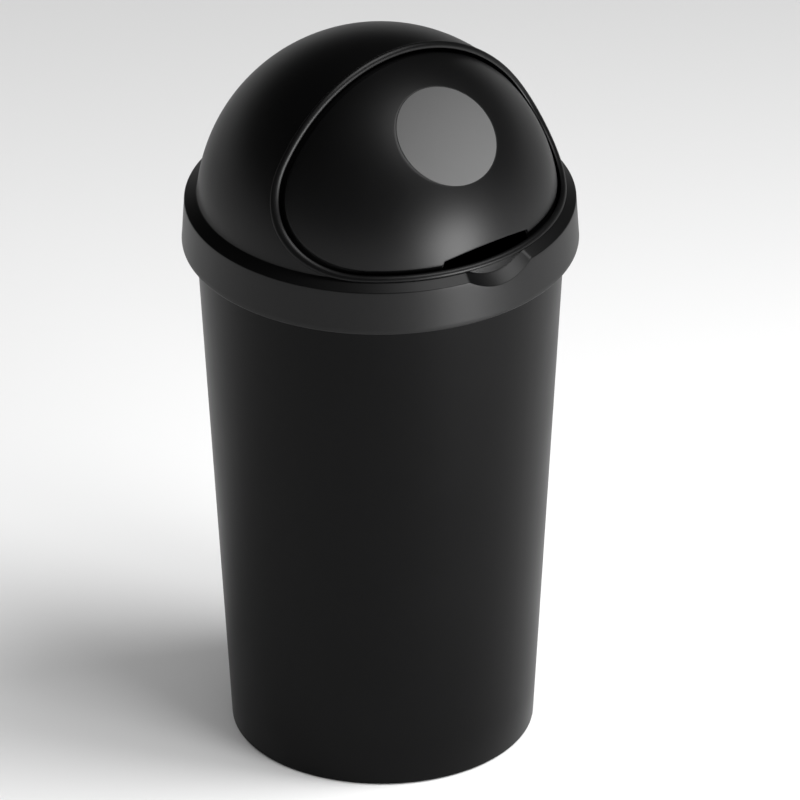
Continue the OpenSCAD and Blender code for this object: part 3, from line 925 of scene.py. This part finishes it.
NODE_MATERIALS = {
    "pivot_pin": pin_steel,
    "pivot_washer": nylon,
    "retaining_clip": clip_steel,
    "closing_bumper": rubber,
    "opening_bumper": rubber,
    "foot": foot_rubber,
}
for node_name, node in frame["nodes"].items():
    for ending, material in NODE_MATERIALS.items():
        if node_name.endswith(ending):
            set_material(node, material)

# ---------------------------------------------------------------- floor, light and camera

VIEW_AZIMUTH = math.radians(-38.4)
VIEW_ELEVATION = math.radians(29.889)
VIEW_ROLL = math.radians(-0.262)
VIEW_DISTANCE = 22.44
AIM_ASIDE = 18.943 * MM
AIM_HEIGHT = 361.5 * MM
LENS_MM = 1000
SENSOR_MM = 36
FLOOR_HALF = 30
FLOOR_SHADE_START = 0.4        # metres behind the bin's axis where painted shade starts to darken the floor; it is full at the next distance
FLOOR_SHADE_END = 1.6
FLAP_HEIGHT = CENTRE_Z * MM
SUN_DISTANCE = 3
HORIZON = (0.75, 0.04)      # the world's brightness and upper end of its pale band
OVERHEAD = (0.035, 0.10)    # and its brightness above, with the height from which it is reached

towards_camera = Vector((math.sin(VIEW_AZIMUTH), -math.cos(VIEW_AZIMUTH), 0))
camera_right = Vector((math.cos(VIEW_AZIMUTH), math.sin(VIEW_AZIMUTH), 0))


def around(azimuth, elevation, distance, height):
    """A place round the bin: azimuth in degrees to the camera's right, distance from a point on its axis."""
    a = math.radians(azimuth)
    e = math.radians(elevation)
    flat = towards_camera * math.cos(a) + camera_right * math.sin(a)
    return flat * math.cos(e) * distance + Vector((0, 0, math.sin(e) * distance + height))


def make_floor():
    """A wide pale floor, with painted shade that darkens it slowly behind the bin."""
    s = FLOOR_HALF
    mesh = bpy.data.meshes.new("floor")
    mesh.from_pydata([(-s, -s, 0), (s, -s, 0), (s, s, 0), (-s, s, 0)], [], [(0, 1, 2, 3)])
    floor = bpy.data.objects.new("floor", mesh)
    bpy.context.scene.collection.objects.link(floor)
    mat, nodes, links, shader = new_material("pale_floor_painted_shade")
    shader.inputs["Roughness"].default_value = 0.9
    shader.inputs["Specular IOR Level"].default_value = 0
    place = nodes.new("ShaderNodeTexCoord")
    depth = nodes.new("ShaderNodeVectorMath")
    depth.operation = "DOT_PRODUCT"
    depth.inputs[1].default_value = -towards_camera
    links.new(place.outputs["Object"], depth.inputs[0])
    reach = add_range(nodes, links, depth.outputs["Value"], 0, 1, start=FLOOR_SHADE_START, stop=FLOOR_SHADE_END)
    # painted shade: the floor's colour falls from 0.82 to 0.57 behind the bin, standing in for light that
    # falls off
    links.new(add_ramp(nodes, links, reach, grey(0.82), grey(0.57)), shader.inputs["Base Color"])
    mesh.materials.append(mat)
    return floor


def add_lamp(data, place, aim):
    """A lamp at a place, turned towards its aim."""
    lamp = bpy.data.objects.new(data.name, data)
    lamp.location = place
    lamp.rotation_mode = "QUATERNION"
    lamp.rotation_quaternion = (aim - place).to_track_quat("-Z", "Y")
    bpy.context.scene.collection.objects.link(lamp)
    return lamp


def softbox(name, azimuth, elevation, distance, size, watts):
    """A round lamp that is turned towards the flap's pivots, which its distance is counted from."""
    data = bpy.data.lights.new(name, "AREA")
    data.shape = "DISK"
    data.size = size
    data.energy = watts
    add_lamp(data, around(azimuth, elevation, distance, FLAP_HEIGHT), Vector((0, 0, FLAP_HEIGHT)))


def sun_light(name, azimuth, elevation, spread, strength, lit):
    """A distant lamp towards the origin that lights only one object, with its spread in degrees."""
    data = bpy.data.lights.new(name, "SUN")
    data.angle = math.radians(spread)
    data.energy = strength
    lamp = add_lamp(data, around(azimuth, elevation, SUN_DISTANCE, 0), Vector((0, 0, 0)))
    receivers = bpy.data.collections.new(f"lit_by_{name}")
    receivers.objects.link(lit)
    lamp.light_linking.receiver_collection = receivers


def make_world():
    """Dim all round, with a pale band at the horizon behind the floor's far edge."""
    world = bpy.data.worlds.new("studio")
    world.use_nodes = True
    nodes = world.node_tree.nodes
    links = world.node_tree.links
    place = nodes.new("ShaderNodeTexCoord")
    axes = nodes.new("ShaderNodeSeparateXYZ")
    links.new(place.outputs["Generated"], axes.inputs["Vector"])
    pale, pale_up_to = HORIZON
    dim, dim_from = OVERHEAD
    band = add_ramp(nodes, links, axes.outputs["Z"], grey(pale), grey(dim), start=pale_up_to, stop=dim_from)
    links.new(band, nodes["Background"].inputs["Color"])
    bpy.context.scene.world = world


def make_camera():
    """The photograph's view: from the front and left, above, and from very far with a long lens."""
    data = bpy.data.cameras.new("camera")
    data.lens = LENS_MM
    data.sensor_width = SENSOR_MM
    data.clip_end = 100
    camera = bpy.data.objects.new("camera", data)
    aim = camera_right * AIM_ASIDE + Vector((0, 0, AIM_HEIGHT))
    back = towards_camera * math.cos(VIEW_ELEVATION) + Vector((0, 0, math.sin(VIEW_ELEVATION)))
    camera.rotation_mode = "QUATERNION"
    camera.location = aim + back * VIEW_DISTANCE
    roll = Matrix.Rotation(VIEW_ROLL, 4, "Z").to_quaternion()
    camera.rotation_quaternion = (-back).to_track_quat("-Z", "Y") @ roll
    bpy.context.scene.collection.objects.link(camera)
    bpy.context.scene.camera = camera


floor = make_floor()
make_world()
make_camera()
softbox("front_softbox", azimuth=46, elevation=-3, distance=2.2, size=1.1, watts=60)
softbox("upper_softbox", azimuth=75, elevation=62, distance=2.4, size=1.5, watts=38)
sun_light("floor_key", azimuth=87, elevation=44, spread=30, strength=1.8, lit=floor)
sun_light("floor_fill", azimuth=0, elevation=85, spread=120, strength=1.35, lit=floor)

bpy.context.scene.view_settings.view_transform = "Standard"
